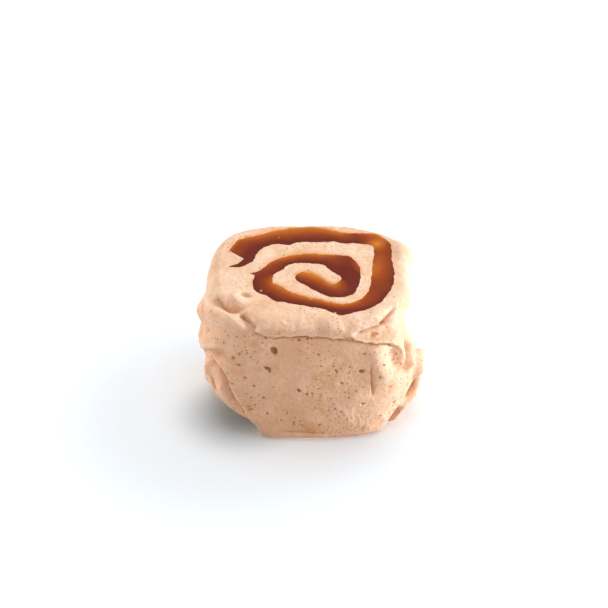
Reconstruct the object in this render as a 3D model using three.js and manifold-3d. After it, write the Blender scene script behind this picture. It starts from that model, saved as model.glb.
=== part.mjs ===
// Salt water taffy: a soft, squarish chunk cut from a rolled rope of pulled taffy, with a ribbon of
// caramel rolled into it. The ribbon shows as a swirl on the upper cut face and runs straight through
// to the lower one, on which the chunk stands. Millimetres, +Z up, and the front looks along -Y.
import * as THREE from "three";
import { LoftGeometry } from "three/addons/geometries/LoftGeometry.js";
import { mergeVertices } from "three/addons/utils/BufferGeometryUtils.js";
import Module from "manifold-3d";

// Driving dimensions of the chunk: its height and its girth, a superellipse at four levels that
// leans a little to one side between them
const HEIGHT = 16.2;
const GIRTH = [
  { z: 0.0, halfWidth: 11.1, halfDepth: 9.9, squareness: 2.8, lean: 0.6 },
  { z: 5.0, halfWidth: 12.1, halfDepth: 9.8, squareness: 2.9, lean: 0.0 },
  { z: 12.0, halfWidth: 11.4, halfDepth: 9.9, squareness: 3.2, lean: -0.4 },
  { z: HEIGHT, halfWidth: 11.4, halfDepth: 10.1, squareness: 3.3, lean: 0.0 },
];
const FOOT_ROUND = 0.9; // radius of the lower edge
const SHOULDER_FRONT = 2.0; // radius of the upper edge, slumped at the front
const SHOULDER_BACK = 0.8; // and still crisp at the back
const CROWN = 0.15; // how far the upper face swells in its middle

// Folds of the skin, each a soft stroke. A path runs through [degrees round from the front, mm up the
// skin from the foot]; rise is its height, or its depth where negative; left and right are how far it
// spreads on each side of its path as it runs; ends are the shares of its length over which it fades.
const FOLD_UNROLL = 11.0; // radius at which degrees round the chunk become mm along the skin
const FOLDS = {
  frontSheetRim: {
    path: [[-88, 13.2], [-76, 14.3], [-68, 14.9], [-54, 15.4], [-34, 15.1]],
    rise: 0.65, left: 0.7, right: 2.2, ends: [0.15, 0.2],
  },
  frontSheetTip: {
    path: [[-98, 12.2], [-86, 12.5], [-74, 13.2]],
    rise: 1.2, left: 1.3, right: 1.2, ends: [0.5, 0.5],
  },
  pocketCrease: {
    path: [[-70, 15.7], [-62, 15.8], [-56.5, 16.1], [-46, 16.9]],
    rise: -0.8, left: 1.2, right: 1.0, ends: [0.35, 0.35],
  },
  pocketBulge: {
    path: [[-61, 17.6], [-52, 18.0]],
    rise: 0.5, left: 1.0, right: 0.9, ends: [0.4, 0.4],
  },
  frontBrim: {
    path: [[-46, 16.8], [-34, 15.4], [-20, 14.6], [-5, 14.7], [10, 14.6], [31, 13.7]],
    rise: 0.45, left: 1.6, right: 0.5, ends: [0.1, 0.25],
  },
  shadeUnderBrim: {
    path: [[-30, 13.7], [-5, 13.6], [25, 13.1]],
    rise: -0.25, left: 0.5, right: 0.8, ends: [0.2, 0.2],
  },
  brimSwell: {
    path: [[4, 15.4], [14, 15.5], [22, 15.2]],
    rise: 0.3, left: 1.0, right: 0.8, ends: [0.4, 0.4],
  },
  backRightCorner: {
    path: [[100, 15.0], [113, 15.2], [128, 15.0]],
    rise: 0.9, left: 2.0, right: 1.6, ends: [0.5, 0.5],
  },
  cornerFlap: {
    path: [[10, 14.6], [31, 13.7], [46.5, 12.6], [56, 10.9], [59, 8.6]],
    rise: 0.7, left: 2.0, right: 0.7, ends: [0.45, 0.3],
  },
  flapGroove: {
    path: [[56, 16.7], [47, 16.0], [39, 15.2], [24.5, 14.75]],
    rise: -0.45, left: 0.5, right: 0.5, ends: [0.3, 0.3],
  },
  cornerRidge: {
    path: [[42, 12.8], [43, 11.0], [45, 7.6], [48, 5.8]],
    rise: 0.75, left: 1.0, right: 0.6, ends: [0.1, 0.4],
  },
  cornerHollow: {
    path: [[52.5, 11.4], [52, 9.8], [49.5, 8.4]],
    rise: -0.8, left: 1.0, right: 1.1, ends: [0.3, 0.4],
  },
  flapTail: {
    path: [[61, 11.2], [60.5, 9.9], [57, 8.6], [49, 6.8]],
    rise: 0.35, left: 1.0, right: 1.0, ends: [0.25, 0.4],
  },
  tailCrease: {
    path: [[68, 11.0], [66.5, 9.8], [58, 7.4], [52, 6.8]],
    rise: -0.7, left: 1.0, right: 1.0, ends: [0.3, 0.4],
  },
  rightSidePress: {
    path: [[58, 9.4], [76, 8.3], [100, 7.4], [128, 6.6]],
    rise: -1.2, left: 3.0, right: 1.3, ends: [0.3, 0.25],
  },
  rightFlap: {
    path: [[101, 3.4], [95, 4.7], [88, 5.6], [81, 6.0], [75.5, 5.9], [72, 5.2], [70, 4.2]],
    rise: 1.3, left: 1.4, right: 1.0, ends: [0.3, 0.3],
  },
  rightSheet: {
    path: [[46, 6.4], [54, 6.4], [62, 5.9], [71, 4.8], [90, 3.2]],
    rise: 0.4, left: 0.9, right: 1.2, ends: [0.3, 0.2],
  },
  rightStrip: {
    path: [[100, 2.8], [90, 3.1], [80, 3.2], [64, 2.2], [53, 0.4]],
    rise: 0.85, left: 1.1, right: 0.9, ends: [0.2, 0.15],
  },
  rightFootCut: {
    path: [[38, -0.8], [58, -0.4], [80, -0.6]],
    rise: -1.3, left: 1.9, right: 1.9, ends: [0.35, 0.35],
  },
  leftSheetEdge: {
    path: [[-112, 8.4], [-96, 8.5], [-84, 8.3], [-60, 10.4], [-42, 11.4]],
    rise: 0.75, left: 1.3, right: 0.5, ends: [0.3, 0.35],
  },
  leftHollow: {
    path: [[-80, 7.4], [-66, 8.6], [-52, 10.0]],
    rise: -0.5, left: 0.8, right: 0.9, ends: [0.35, 0.35],
  },
  leftBelly: {
    path: [[-108, 5.2], [-88, 5.4], [-72, 5.0]],
    rise: 0.9, left: 1.2, right: 1.6, ends: [0.4, 0.4],
  },
  frontSkinEdge: {
    path: [[-78, 6.6], [-59, 8.9], [-49, 8.1], [-42.5, 5.4], [-35, 1.6], [-31, -3]],
    rise: 0.45, left: 2.0, right: 0.5, ends: [0.12, 0.02],
  },
  skinEdgeShade: {
    path: [[-54, 8.6], [-46, 6.4], [-40, 3.4], [-36, 1.4], [-32, -3]],
    rise: -0.9, left: 0.6, right: 1.5, ends: [0.3, 0.02],
  },
  leftPocket: {
    path: [[-66, 7.2], [-58, 7.9], [-52, 7.4], [-47, 5.2]],
    rise: -0.9, left: 0.7, right: 0.8, ends: [0.3, 0.3],
  },
  leftPleat: {
    path: [[-69.5, 7.0], [-65, 5.8], [-66, 3.5]],
    rise: 0.7, left: 0.7, right: 0.6, ends: [0.3, 0.4],
  },
  leftPleatCrease: {
    path: [[-60, 6.4], [-60.5, 3.4]],
    rise: -0.45, left: 0.5, right: 0.5, ends: [0.3, 0.4],
  },
  leftLobe: {
    path: [[-53.5, 6.2], [-53, 3.0]],
    rise: 0.6, left: 0.8, right: 0.7, ends: [0.3, 0.4],
  },
  leftUndercut: {
    path: [[-94, -0.2], [-64, -0.6], [-42, -1.2]],
    rise: -2.1, left: 1.9, right: 1.9, ends: [0.3, 0.2],
  },
  backBrim: {
    path: [[140, 14.6], [190, 14.8], [240, 14.2]],
    rise: 0.4, left: 1.8, right: 0.5, ends: [0.2, 0.2],
  },
  backSkinEdge: {
    path: [[146, 12.6], [160, 9.5], [184, 6.5], [204, 1.6]],
    rise: 0.5, left: 0.5, right: 2.2, ends: [0.15, 0.15],
  },
  backCrease: {
    path: [[228, 10.5], [220, 6.5], [226, 2.0]],
    rise: -0.5, left: 0.6, right: 0.8, ends: [0.3, 0.3],
  },
  backHollow: {
    path: [[132, 9.0], [127, 4.5]],
    rise: -0.8, left: 1.4, right: 1.1, ends: [0.3, 0.4],
  },
  backLeftRidge: {
    path: [[246, 12.0], [238, 7.0], [242, 3.0]],
    rise: 0.5, left: 1.3, right: 1.3, ends: [0.3, 0.3],
  },
};

// The caramel ribbon on the upper face: [x, y, half of its width] from the tail, nearly twice round,
// to the eye. Its outer end is torn into two prongs with a notch between them.
const RIBBON = [
  [-7.0, 5.3, 1.9], [-5.0, 6.7, 1.4], [-2.6, 7.4, 1.5], [0.1, 7.65, 1.6], [3.0, 7.3, 1.4],
  [6.0, 7.0, 1.25], [8.0, 5.9, 1.25], [8.4, 3.6, 1.1], [8.4, -0.6, 1.35], [7.7, -3.6, 1.2],
  [6.1, -6.15, 1.15], [3.4, -7.35, 1.1], [0.9, -6.3, 1.0], [-1.4, -5.3, 1.0], [-3.7, -4.2, 1.45],
  [-5.1, -1.9, 1.3], [-4.3, 0.8, 1.15], [-2.5, 2.55, 1.0], [0.05, 3.2, 1.1], [2.9, 2.3, 1.4],
  [4.5, 0.4, 1.35], [4.4, -1.8, 1.25], [2.9, -3.3, 1.25], [0.9, -2.1, 1.15], [-1.0, -0.45, 0.85],
];
const TAIL_HEEL = [-7.0, 1.4];
const TAIL_LOWER_PRONG = [-9.3, 1.2];
const TAIL_NOTCH = [-8.0, 2.9];
const TAIL_UPPER_PRONG = [-9.3, 4.5];
const RIBBON_FOOT_SHARE = 0.88; // the swirl is drawn in this much at the lower face
const SEAM = 0.3; // clearance between the ribbon and the cream round it

// How finely the skin and the ribbon are divided
const AROUND = 120;
const SIDE_BUNCHING = 0.22; // how far its columns crowd towards the two creased sides
const FOOT_RINGS = 3;
const SIDE_RINGS = 24;
const SHOULDER_RINGS = 7;
const TOP_RINGS = 2;
const TOP_FLAT_SHARE = 0.5; // how far in the middle of the top is flat
const FOLD_STEPS = 6; // for each stretch of a fold's path
const RIBBON_STEPS = 110;
const RIBBON_END_STEPS = 6;
const RIBBON_OVERRUN = 2; // past both faces, before it is cut to the chunk

const { degToRad, radToDeg, lerp, clamp, smoothstep, euclideanModulo } = THREE.MathUtils;

// The girth at height z: every size is eased from one level to the next.
function girthAt(z) {
  const level = z < GIRTH[1].z ? 0 : z < GIRTH[2].z ? 1 : 2;
  const [lower, upper] = [GIRTH[level], GIRTH[level + 1]];
  const share = smoothstep(z, lower.z, upper.z);
  const eased = (size) => lerp(lower[size], upper[size], share);
  return {
    halfWidth: eased("halfWidth"),
    halfDepth: eased("halfDepth"),
    squareness: eased("squareness"),
    lean: eased("lean"),
  };
}

// The outline's radius: |x / halfWidth|^s + |y / halfDepth|^s = 1 for squareness s.
function outlineRadius(around, z) {
  const { halfWidth, halfDepth, squareness } = girthAt(z);
  const across = Math.abs(Math.sin(degToRad(around)) / halfWidth) ** squareness;
  const along = Math.abs(Math.cos(degToRad(around)) / halfDepth) ** squareness;
  return (across + along) ** (-1 / squareness);
}

// The radius of the upper edge swings from the front's to the back's.
function shoulderRound(around) {
  return lerp(SHOULDER_BACK, SHOULDER_FRONT, (1 + Math.cos(degToRad(around))) / 2);
}

// Each fold's path as a smooth line on the unrolled skin, and the middle of its turn.
const strokes = Object.values(FOLDS).map(({ path, ...form }) => {
  const curve = new THREE.SplineCurve(path.map(([around, up]) => new THREE.Vector2(around, up)));
  const points = curve.getPoints(FOLD_STEPS * (path.length - 1));
  const turns = points.map((point) => point.x);
  const middle = (Math.min(...turns) + Math.max(...turns)) / 2;
  const line = points.map(({ x, y }) => new THREE.Vector2(degToRad(x) * FOLD_UNROLL, y));
  return { ...form, line, middle };
});

// One fold's height at a point of the skin: rise * exp(-(distance / spread)^2), faded at its ends.
function strokeHeight({ line, middle, rise, left, right, ends }, around, up) {
  const turn = euclideanModulo(around - middle + 180, 360) - 180 + middle;
  const point = new THREE.Vector2(degToRad(turn) * FOLD_UNROLL, up);
  let distance = Infinity;
  let side = 1;
  let along = 0;
  for (let k = 0; k + 1 < line.length; k++) {
    const step = line[k + 1].clone().sub(line[k]);
    const offset = point.clone().sub(line[k]);
    const share = clamp(offset.dot(step) / step.lengthSq(), 0, 1);
    const gap = offset.clone().addScaledVector(step, -share).length();
    if (gap < distance) {
      distance = gap;
      side = Math.sign(step.cross(offset));
      along = (k + share) / (line.length - 1);
    }
  }
  const fade = Math.min(smoothstep(along, 0, ends[0]), smoothstep(1 - along, 0, ends[1]));
  return rise * fade * Math.exp(-((distance / (side >= 0 ? left : right)) ** 2));
}

function foldHeight(around, up) {
  return strokes.reduce((sum, stroke) => sum + strokeHeight(stroke, around, up), 0);
}

// The four stretches of a meridian, from the foot's round over the side and the shoulder to the middle
// of the top. Each gives a point's radius and height, how far up the skin it lies, and the way a fold
// moves it: outwards on the foot and side, upwards on the top.
const STRETCHES = {
  foot(share, around) {
    const bend = (share * Math.PI) / 2;
    const z = FOOT_ROUND * (1 - Math.cos(bend));
    const radius = outlineRadius(around, z) - FOOT_ROUND * (1 - Math.sin(bend));
    return { radius, z, up: z, outward: 1, upward: 0 };
  },
  side(share, around) {
    const z = lerp(FOOT_ROUND, HEIGHT - shoulderRound(around), share);
    return { radius: outlineRadius(around, z), z, up: z, outward: 1, upward: 0 };
  },
  shoulder(share, around) {
    const bend = (share * Math.PI) / 2;
    const round = shoulderRound(around);
    const z = HEIGHT - round * (1 - Math.sin(bend));
    const radius = outlineRadius(around, z) - round * (1 - Math.cos(bend));
    const up = HEIGHT - round + round * bend;
    return { radius, z, up, outward: Math.cos(bend), upward: Math.sin(bend) };
  },
  top(share, around) {
    const round = shoulderRound(around);
    const edge = outlineRadius(around, HEIGHT) - round;
    const z = HEIGHT + CROWN * (1 - (1 - share) ** 2);
    const up = HEIGHT - round + (round * Math.PI) / 2 + edge * share;
    return { radius: edge * (1 - share), z, up, outward: 0, upward: 1 };
  },
};

function skinPoint(stretch, share, around) {
  const { radius, z, up, outward, upward } = STRETCHES[stretch](share, around);
  const fold = foldHeight(around, up);
  const reach = radius + outward * fold;
  const x = reach * Math.sin(degToRad(around)) + girthAt(z).lean;
  const y = -reach * Math.cos(degToRad(around));
  return new THREE.Vector3(x, y, z + upward * fold);
}

// Degrees round of the grid's columns: even steps t moved by the bunching times sin 2t.
function columnAngle(k) {
  const even = (2 * Math.PI * k) / AROUND;
  return radToDeg(even + SIDE_BUNCHING * Math.sin(2 * even));
}

// The chunk: rings of the skin from the lower face to the middle of the upper one.
function chunkGeometry() {
  const rings = [];
  const addRings = (stretch, count, reach) => {
    for (let k = 0; k < count; k++) rings.push([stretch, (reach * k) / count]);
  };
  addRings("foot", FOOT_RINGS, 1);
  addRings("side", SIDE_RINGS, 1);
  addRings("shoulder", SHOULDER_RINGS, 1);
  addRings("top", TOP_RINGS, TOP_FLAT_SHARE);
  rings.push(["top", TOP_FLAT_SHARE]);
  const sections = rings.map(([stretch, share]) =>
    Array.from({ length: AROUND }, (_, k) => skinPoint(stretch, share, columnAngle(k))),
  );
  return new LoftGeometry(sections, { capStart: true, capEnd: true });
}

// The ribbon as an upright wall: its outline on the upper face, drawn in towards the foot. Every side
// is moved out by grow, so that the same outline gives the caramel and the room cut for it.
function ribbonGeometry(grow) {
  const centre = new THREE.CatmullRomCurve3(
    RIBBON.map(([x, y, half]) => new THREE.Vector3(x, y, half)), false, "catmullrom",
  );
  const stations = centre.getPoints(RIBBON_STEPS);
  const outer = [];
  const inner = [];
  stations.forEach((station, k) => {
    const before = stations[Math.max(k - 1, 0)];
    const after = stations[Math.min(k + 1, RIBBON_STEPS)];
    const outwards = new THREE.Vector2(before.y - after.y, after.x - before.x).normalize();
    const middle = new THREE.Vector2(station.x, station.y);
    outer.push(middle.clone().addScaledVector(outwards, station.z + grow));
    inner.unshift(middle.clone().addScaledVector(outwards, -station.z - grow));
  });
  const eye = new THREE.Vector2().addVectors(outer.at(-1), inner[0]).multiplyScalar(0.5);
  const roundEnd = Array.from({ length: RIBBON_END_STEPS - 1 }, (_, k) =>
    outer.at(-1).clone().rotateAround(eye, (-Math.PI * (k + 1)) / RIBBON_END_STEPS),
  );
  const tail = [
    new THREE.Vector2(...TAIL_HEEL).add(new THREE.Vector2(grow, -grow)),
    new THREE.Vector2(...TAIL_LOWER_PRONG).add(new THREE.Vector2(-grow, -grow)),
    new THREE.Vector2(...TAIL_NOTCH).add(new THREE.Vector2(-grow, 0)),
    new THREE.Vector2(...TAIL_UPPER_PRONG).add(new THREE.Vector2(-grow, grow)),
  ];
  const outline = new THREE.Shape([...outer, ...roundEnd, ...inner, ...tail]);
  const depth = HEIGHT + 2 * RIBBON_OVERRUN;
  const wall = new THREE.ExtrudeGeometry(outline, { depth, bevelEnabled: false });
  wall.translate(0, 0, -RIBBON_OVERRUN);
  const position = wall.getAttribute("position");
  for (let k = 0; k < position.count; k++) {
    const draw = lerp(RIBBON_FOOT_SHARE, 1, position.getZ(k) / HEIGHT);
    position.setXY(k, position.getX(k) * draw, position.getY(k) * draw);
  }
  return wall;
}

const wasm = await Module();
wasm.setup();

function solid(geometry) {
  const bare = new THREE.BufferGeometry();
  bare.setAttribute("position", geometry.getAttribute("position"));
  bare.setIndex(geometry.index);
  const { attributes, index } = mergeVertices(bare);
  const triVerts = new Uint32Array(index.array);
  return new wasm.Manifold(
    new wasm.Mesh({ numProp: 3, vertProperties: attributes.position.array, triVerts }),
  );
}

function namedMesh(name, shape, material) {
  const { vertProperties, triVerts } = shape.getMesh();
  const geometry = new THREE.BufferGeometry();
  geometry.setAttribute("position", new THREE.BufferAttribute(vertProperties, 3));
  geometry.setIndex(new THREE.BufferAttribute(triVerts, 1));
  geometry.computeVertexNormals();
  const mesh = new THREE.Mesh(geometry, material);
  mesh.name = name;
  return mesh;
}

const chunk = solid(chunkGeometry());
const cream = chunk.subtract(solid(ribbonGeometry(SEAM / 2)));
const caramel = chunk.intersect(solid(ribbonGeometry(-SEAM / 2)));

const creamFinish = new THREE.MeshStandardMaterial({ color: 0xe9c3a0, roughness: 0.55, metalness: 0 });
const caramelFinish = new THREE.MeshStandardMaterial({ color: 0x86402e, roughness: 0.2, metalness: 0 });

const taffy = new THREE.Group();
taffy.add(namedMesh("taffy", cream, creamFinish));
taffy.add(namedMesh("caramel_swirl", caramel, caramelFinish));

export default taffy;
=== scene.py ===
import math

import bpy
import numpy as np
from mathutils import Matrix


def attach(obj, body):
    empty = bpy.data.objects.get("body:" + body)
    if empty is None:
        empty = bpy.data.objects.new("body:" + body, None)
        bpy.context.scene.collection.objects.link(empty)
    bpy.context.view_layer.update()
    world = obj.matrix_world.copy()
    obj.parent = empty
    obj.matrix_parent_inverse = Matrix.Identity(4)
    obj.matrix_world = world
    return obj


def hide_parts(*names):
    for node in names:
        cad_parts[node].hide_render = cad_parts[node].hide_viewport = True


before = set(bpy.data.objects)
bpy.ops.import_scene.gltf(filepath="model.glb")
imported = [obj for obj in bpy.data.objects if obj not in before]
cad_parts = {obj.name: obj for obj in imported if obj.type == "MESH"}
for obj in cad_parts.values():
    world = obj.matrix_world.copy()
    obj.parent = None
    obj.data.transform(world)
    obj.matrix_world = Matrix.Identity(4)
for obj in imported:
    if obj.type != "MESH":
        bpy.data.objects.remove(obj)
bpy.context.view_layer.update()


# Pulled cream
# The chunk is sugar, syrup and butter boiled, then pulled until it is full of fine air and pale. It was cut
# warm from a rolled rope, so its sides creased as it was pressed: a brim slumped over the front, skins
# lapped over each other and bubbles broke open. Sizes are in millimetres, as a maker would measure them.
MM = 0.001
HEIGHT = 16.2
GIRTH = np.array([  # height, half width, half depth, squareness, lean to the right
    (0.0, 11.1, 9.9, 2.8, 0.6),
    (5.0, 12.1, 9.8, 2.9, 0.0),
    (12.0, 11.4, 9.9, 3.2, -0.4),
    (HEIGHT, 11.4, 10.1, 3.3, 0.0),
])
FOOT_ROUND = 0.9
SHOULDER_FRONT = 2.0
SHOULDER_BACK = 0.8
CROWN = 0.15
FOLD_UNROLL = 11.0
FOLD_STEPS = 6
FOLD_REACH = 2.7
LAP_TUCK = 0.5
LAP_TUCK_AT = 0.32
LAP_TUCK_SPREAD = 0.16
# Painted shade goes into tucks and narrow creases, and a painted highlight along sharp edges; these set
# which folds get them and how wide.
CREASE_WIDEST = 0.9
CREASE_FADE = 0.6
EDGE_WIDTH = 0.5
EDGE_RISE = 1.3
EDGE_SPREAD = 0.35
TUCK_PAINTED_SHADE = 0.4
WAVERS = [(29, 0.9, 0.06), (53, -1.7, 0.04), (83, 2.6, 0.02)]  # waves round, slant and size

# Each fold: its path in degrees round from the front and millimetres up the skin, its rise, how far it
# spreads to the left and right of its path, the shares of its length over which its ends fade, and how far
# its crest laps over to the right.
FOLDS = [
    # rim of the front sheet, up to its tip on the left, and the creases and the bulge behind it
    ([(-88, 13.2), (-79, 14.5), (-70, 15.2), (-60, 15.5), (-52.5, 15.7), (-46.5, 15.6), (-40.5, 15.2),
      (-36, 14.9), (-31, 14.5)], 0.5, 0.42, 1.7, (0.15, 0.25), 0.0),
    ([(-102, 11.5), (-84, 12.0), (-66, 13.2)], 1.15, 1.2, 1.4, (0.5, 0.5), 0.0),
    ([(-69, 15.8), (-63, 16.0), (-56.5, 16.2), (-50.5, 16.4), (-46, 17.0), (-43, 17.6)],
     -1.1, 0.7, 0.3, (0.3, 0.4), 0.0),
    ([(-45.5, 16.8), (-42, 16.2), (-37.5, 15.8), (-33, 15.2), (-30, 14.8)],
     -0.85, 0.55, 0.22, (0.2, 0.3), 0.0),
    ([(-65, 17.4), (-58, 17.6), (-51, 18.0), (-45, 18.4)], 0.7, 1.0, 0.75, (0.35, 0.6), 0.0),
    # brim that rolls over the front sheet, the swells on both sides of its edge, and the crack on the front
    ([(-41, 16.3), (-37.5, 15.9), (-33.5, 15.3), (-30, 14.85), (-20, 14.6), (-5.5, 14.7), (10, 14.6),
      (18, 14.4), (25, 14.1), (30, 13.75)], 0.3, 1.6, 0.22, (0.2, 0.2), 0.12),
    ([(-34, 12.4), (-24, 13.6)], 0.15, 0.5, 0.5, (0.4, 0.4), 0.0),
    ([(4, 15.4), (14, 15.5), (22, 15.2)], 0.3, 1.0, 0.8, (0.4, 0.4), 0.0),
    ([(36.6, 11.4), (37.0, 9.5), (37.5, 7.6), (38.0, 5.4)], -0.5, 0.08, 0.08, (0.5, 0.15), 0.0),
    # corner pulled out at the back right
    ([(100, 15.0), (113, 15.2), (128, 15.0)], 0.9, 2.0, 1.6, (0.5, 0.5), 0.0),
    # flap wrapped round the right front corner, the groove and the fine line over it
    ([(15, 15.0), (21, 14.85), (26, 14.5), (29.5, 14.0), (33, 13.6), (38.5, 13.2), (46, 12.8), (51, 12.0),
      (56, 10.9), (58.5, 9.8)], 0.5, 2.0, 0.25, (0.3, 0.3), 0.15),
    ([(56, 16.7), (51, 16.3), (47, 16.0), (43.5, 15.7), (40.5, 15.3)], -0.6, 0.28, 0.18, (0.4, 0.15), 0.0),
    ([(52, 15.5), (44, 15.4), (39, 15.2), (32, 15.0), (24.5, 14.75)], -0.45, 0.16, 0.16, (0.35, 0.2), 0.0),
    ([(52, 17.4), (42, 16.6), (30, 15.9)], 0.25, 0.7, 0.7, (0.4, 0.4), 0.0),
    # ridge and hollow under the flap, the flap's tail and the crease beside it
    ([(38.5, 12.8), (40, 10.8), (42, 9.1), (45, 7.4), (49, 5.8)], 0.65, 1.3, 0.95, (0.1, 0.5), 0.0),
    ([(48.5, 11.6), (51.5, 10.4), (51.5, 9.2), (49.5, 8.4)], -0.6, 0.6, 0.9, (0.3, 0.4), 0.0),
    ([(51, 11.9), (55, 10.9), (58, 9.8), (58.5, 9.0), (56.5, 8.4), (52.5, 7.9), (48, 7.5)],
     0.5, 0.55, 0.5, (0.35, 0.4), 0.0),
    ([(70, 11.3), (67, 10.2), (64.5, 9.3), (61.8, 8.5), (57.5, 7.8), (52, 7.3)],
     -1.0, 0.5, 0.38, (0.2, 0.35), 0.0),
    ([(71, 10.2), (69.5, 9.5), (67.3, 8.7), (64.5, 7.9), (59, 7.0)], 1.35, 1.0, 0.75, (0.3, 0.25), 0.0),
    # right side pressed in, the flap standing off it, the slots under the front sheet's edge and the layers
    # behind them, and the undercut and the lap at the foot
    ([(58, 9.4), (76, 8.3), (100, 7.4), (128, 6.6)], -1.2, 3.0, 1.3, (0.3, 0.25), 0.0),
    ([(101, 3.4), (95, 4.7), (88, 5.6), (81, 6.0), (75.5, 5.9), (72, 5.2), (70, 4.2)],
     1.2, 1.4, 0.4, (0.25, 0.2), 0.15),
    ([(58, 2.75), (62, 3.15), (66, 3.4), (71, 3.55), (78, 3.92), (84, 4.35)],
     -1.6, 0.22, 0.36, (0.45, 0.12), 0.0),
    ([(56, 2.0), (59, 2.5), (64, 2.9), (71, 3.2), (78, 3.6), (84, 4.0), (90, 4.2)],
     1.1, 0.26, 0.5, (0.35, 0.35), 0.0),
    ([(48.8, 0.5), (50.8, 1.2), (53.3, 2.0), (55.8, 2.8)], -0.72, 0.22, 0.2, (0.3, 0.45), 0.0),
    ([(50.5, 0.3), (52.5, 1.0), (55, 1.8), (57.5, 2.4), (60, 2.6)], 0.6, 0.2, 0.35, (0.2, 0.4), 0.0),
    ([(40, -0.9), (58, -0.4), (80, -0.6)], -1.2, 1.9, 1.9, (0.4, 0.35), 0.0),
    ([(28, 0.9), (38, 1.8), (48, 1.7)], 0.2, 0.55, 0.25, (0.3, 0.3), 0.0),
    # thin lip along the front's foot, and the crease over it
    ([(-31, 0.5), (-20, 0.75), (-8, 0.8), (6, 0.7), (20, 0.6)], 0.22, 0.18, 0.55, (0.15, 0.3), 0.0),
    ([(-27, 1.0), (-15, 1.15), (-2, 1.15), (11, 0.95)], -0.15, 0.1, 0.1, (0.3, 0.4), 0.0),
    # sheet edge and hollow on the left, the belly under them
    ([(-114, 7.9), (-98, 7.8), (-86, 7.8), (-74, 8.9)], 0.65, 1.3, 1.0, (0.3, 0.35), 0.0),
    ([(-88, 7.4), (-72, 9.0), (-61, 10.5), (-51, 11.7), (-44, 11.9)], 0.6, 1.3, 0.35, (0.35, 0.35), 0.0),
    ([(-110, 4.5), (-94, 4.5), (-83, 5.0), (-75, 6.3)], -0.85, 1.2, 0.7, (0.25, 0.35), 0.0),
    ([(-86, 5.6), (-73, 7.7), (-61, 9.6), (-50.5, 10.8), (-41, 11.2)], -0.8, 0.5, 0.6, (0.35, 0.45), 0.0),
    ([(-98, 9.8), (-88, 9.2), (-80, 9.0), (-74, 9.4)], 0.45, 0.9, 0.35, (0.3, 0.4), 0.0),
    ([(-108, 2.5), (-88, 2.5), (-72, 2.7)], 0.95, 1.0, 1.2, (0.4, 0.4), 0.0),
    # front skin lapped over the left side, the creases under its edge, the pleats and the undercut
    ([(-78, 6.8), (-69.5, 7.9), (-63, 8.9), (-57, 9.3), (-51.5, 9.0), (-47.5, 7.7), (-45.5, 6.5),
      (-42.5, 5.2), (-39.5, 4.1), (-37, 2.4), (-35.5, 1.0), (-34, -1), (-33, -3)],
     0.4, 2.0, 0.22, (0.12, 0.02), 0.2),
    ([(-55, 8.8), (-49.5, 7.8), (-46.5, 6.4), (-43.5, 5.0), (-40.5, 3.8), (-38, 2.2), (-36, 0.6),
      (-34.5, -1.5), (-34, -3)], -0.5, 0.16, 0.35, (0.3, 0.02), 0.0),
    ([(-66, 7.5), (-60, 8.3), (-55, 8.6), (-51.5, 8.2), (-49, 7.3), (-47.5, 6.4)],
     -1.3, 0.3, 0.5, (0.3, 0.35), 0.0),
    ([(-67.5, 7.6), (-65, 6.6), (-64.5, 5.4)], 0.55, 0.6, 0.5, (0.3, 0.4), 0.0),
    ([(-63.5, 6.2), (-61, 5.2), (-58.5, 4.0)], -0.7, 0.4, 0.35, (0.3, 0.4), 0.0),
    ([(-53, 7.0), (-50, 5.4), (-47, 3.6)], 0.75, 0.45, 1.1, (0.35, 0.4), 0.0),
    ([(-94, -0.2), (-64, -0.2), (-46, -0.5), (-33, -0.9)], -2.6, 1.9, 1.9, (0.3, 0.15), 0.0),
    # lapped skins on the right and on the left, towards the back
    ([(84, 12.6), (96, 10.6), (110, 8.4), (121, 5.4), (127, 2.0)], 0.35, 1.8, 0.24, (0.25, 0.2), 0.2),
    ([(-134, 2.6), (-126, 6.6), (-114, 9.6), (-99, 11.6)], 0.4, 1.8, 0.24, (0.2, 0.3), 0.2),
    # brim, lapped skin, crease, hollow and ridge at the back
    ([(140, 14.6), (190, 14.8), (240, 14.2)], 0.4, 1.8, 0.25, (0.2, 0.2), 0.3),
    ([(146, 12.6), (160, 9.5), (184, 6.5), (204, 1.6)], 0.5, 0.25, 2.2, (0.15, 0.15), -0.3),
    ([(228, 10.5), (220, 6.5), (226, 2.0)], -0.5, 0.6, 0.8, (0.3, 0.3), 0.0),
    ([(132, 9.0), (127, 4.5)], -0.8, 1.4, 1.1, (0.3, 0.4), 0.0),
    ([(246, 12.0), (238, 7.0), (242, 3.0)], 0.5, 1.3, 1.3, (0.3, 0.3), 0.0),
]

# Broken bubbles: degrees round, millimetres up the skin, half length, half width, tilt and depth.
BUBBLES = [
    (-20.5, 12.3, 0.5, 0.33, 115, 0.55), (-24.5, 9.9, 0.38, 0.2, 155, 0.4),
    (-40.0, 9.9, 0.22, 0.14, 160, 0.2), (-37.5, 8.2, 0.16, 0.15, 0, 0.22),
    (-33.5, 7.2, 0.2, 0.14, 110, 0.22), (-7.0, 6.9, 0.26, 0.18, 140, 0.3),
    (-57.0, 19.3, 0.85, 0.58, 15, 0.17), (32.5, 9.3, 0.3, 0.24, 0, 0.35),
    (32.5, 4.7, 0.22, 0.13, 20, 0.25), (18.0, 9.5, 0.2, 0.14, 150, 0.22),
    (36.5, 14.4, 0.4, 0.3, 10, 0.12), (-2.0, 6.4, 0.18, 0.14, 30, 0.2),
]
BUBBLE_SEED = 5
SMALL_BUBBLES = 50
SMALL_BUBBLE_RADIUS = (0.13, 0.2)
SMALL_BUBBLE_UP = (1.5, 13.0)
SMALL_BUBBLE_STRETCH = (1.0, 1.4)
LUMP_SEED = 7
LUMP_WAVES = 16
LUMP_LENGTHS = (2.2, 7.0)
LUMP_SHARE = 0.0055
LUMP_TOP_CALM = 0.7
LUMP_FOOT_CALM = 2.0

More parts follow.
